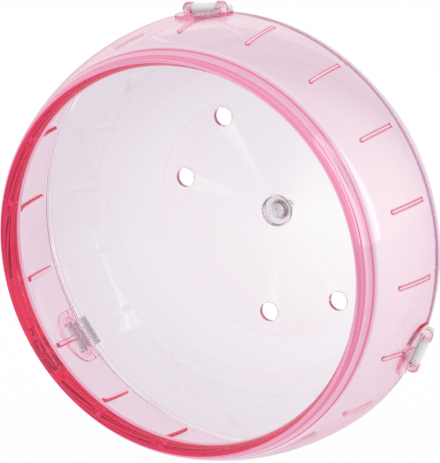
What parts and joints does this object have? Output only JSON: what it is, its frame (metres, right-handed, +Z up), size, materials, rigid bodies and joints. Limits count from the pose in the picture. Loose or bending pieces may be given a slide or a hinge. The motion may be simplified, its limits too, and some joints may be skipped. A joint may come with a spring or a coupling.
{
  "type": "hamster wheel",
  "caption": "See-through drum wheel for a small pet: a pink ring and a clear dished back, held by swing latches, turning on a snap-in axle pin.",
  "frame": {"origin": "on the axle, at the rear face of the thrust washer, where the wheel seats on a wall or a stand", "axes": "+Y along the axle into the wall, so the open mouth faces -Y; +Z up"},
  "size_m": [0.1435, 0.0819, 0.1471],
  "materials": {
    "pink_plastic": "polished, see-through",
    "clear_plastic": "polished, see-through",
    "latch_plastic": "polished, see-through",
    "pin_plastic": "polished, see-through",
    "washer_nylon": "satin"
  },
  "bodies": {
    "axle": {"axle_pin": "pin_plastic", "thrust_washer": "washer_nylon"},
    "wheel": {"running_ring": "pink_plastic", "back_shell": "clear_plastic"},
    "top_latch": {"latch_top": "latch_plastic"},
    "right_latch": {"latch_right": "latch_plastic"},
    "left_latch": {"latch_left": "latch_plastic"}
  },
  "joints": [
    {"name": "wheel_spin", "type": "hinge", "parent": "axle", "child": "wheel", "pos_m": [0, -0.0356, 0], "axis": [0, 1, 0], "continuous": true},
    {"name": "top_latch_swing", "type": "hinge", "parent": "wheel", "child": "top_latch", "pos_m": [-0.00904, -0.0389, 0.07254], "axis": [0.9923, 0, 0.1236], "range_deg": [0, 170]},
    {"name": "right_latch_swing", "type": "hinge", "parent": "wheel", "child": "right_latch", "pos_m": [0.06734, -0.0389, -0.02845], "axis": [-0.3891, 0, -0.9212], "range_deg": [0, 170]},
    {"name": "left_latch_swing", "type": "hinge", "parent": "wheel", "child": "left_latch", "pos_m": [-0.0583, -0.0389, -0.04409], "axis": [-0.6032, 0, 0.7976], "range_deg": [0, 170]}
  ]
}
